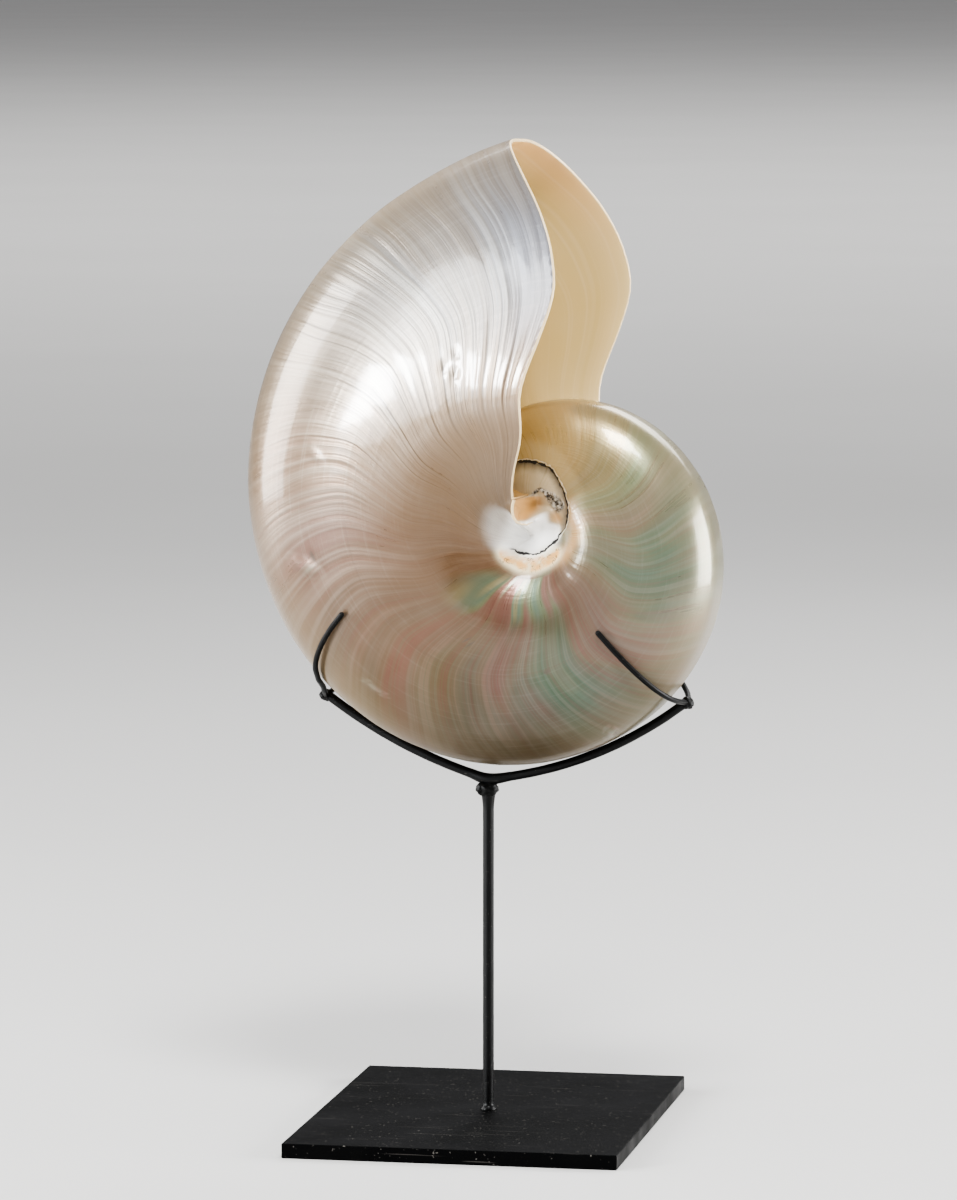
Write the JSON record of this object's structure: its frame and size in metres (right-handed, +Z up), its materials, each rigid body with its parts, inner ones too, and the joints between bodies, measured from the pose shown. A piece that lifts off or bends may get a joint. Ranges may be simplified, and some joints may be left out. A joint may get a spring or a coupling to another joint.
{
  "type": "nautilus shell on a wire cradle stand",
  "caption": "Whole polished pearl nautilus shell with an open living chamber, resting in a black wire cradle on a round post and a flat rectangular base plate.",
  "frame": {"origin": "centre of the base plate's underside, straight below the post", "axes": "+Z up along the post; +X to the right along the plate's front edge, the way the shell's mouth opens; -Y towards the viewer"},
  "size_m": [0.1295, 0.117, 0.2676],
  "materials": {
    "pearl": "polished mother of pearl outside, satin cream inside",
    "black_metal": "satin black"
  },
  "bodies": {
    "root": {"nautilus_shell": "pearl", "cradle_keel": "black_metal", "left_clasp_wire": "black_metal", "right_clasp_wire": "black_metal", "post": "black_metal", "base_plate": "black_metal"}
  },
  "joints": []
}
